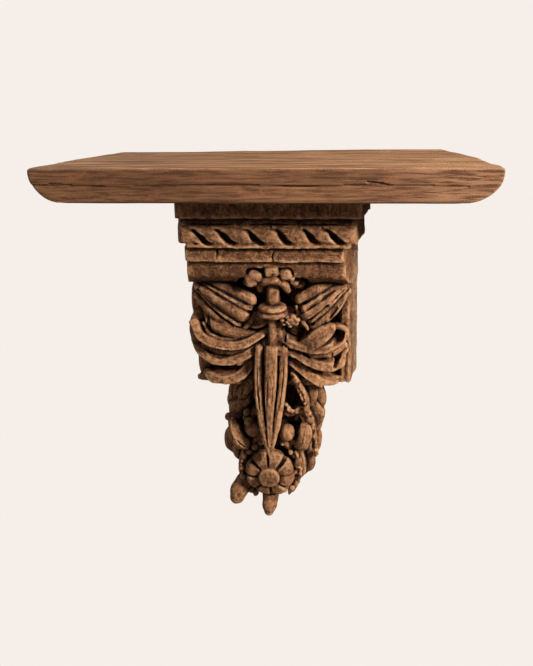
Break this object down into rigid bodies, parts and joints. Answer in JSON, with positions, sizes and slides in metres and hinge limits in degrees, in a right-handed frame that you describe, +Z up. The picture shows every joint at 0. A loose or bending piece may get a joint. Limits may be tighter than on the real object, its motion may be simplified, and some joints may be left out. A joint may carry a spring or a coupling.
{
  "type": "corbel shelf",
  "caption": "Small wall shelf: a tapered wooden board carried by a carved wooden corbel with mouldings, a leaf panel and a hanging flower pendant.",
  "frame": {"origin": "middle of the corbel block's flat back, on the wall", "axes": "+X along the board, +Y into the wall, +Z up; the front faces -Y"},
  "size_m": [0.45, 0.2, 0.4128],
  "materials": {
    "board_wood": "aged teak, waxed and worn, grain along the board",
    "corbel_wood": "aged carved teak, worn ridges and dark hollows, grain upright"
  },
  "bodies": {
    "root": {"shelf_board": "board_wood", "carved_corbel": "corbel_wood"}
  },
  "joints": []
}
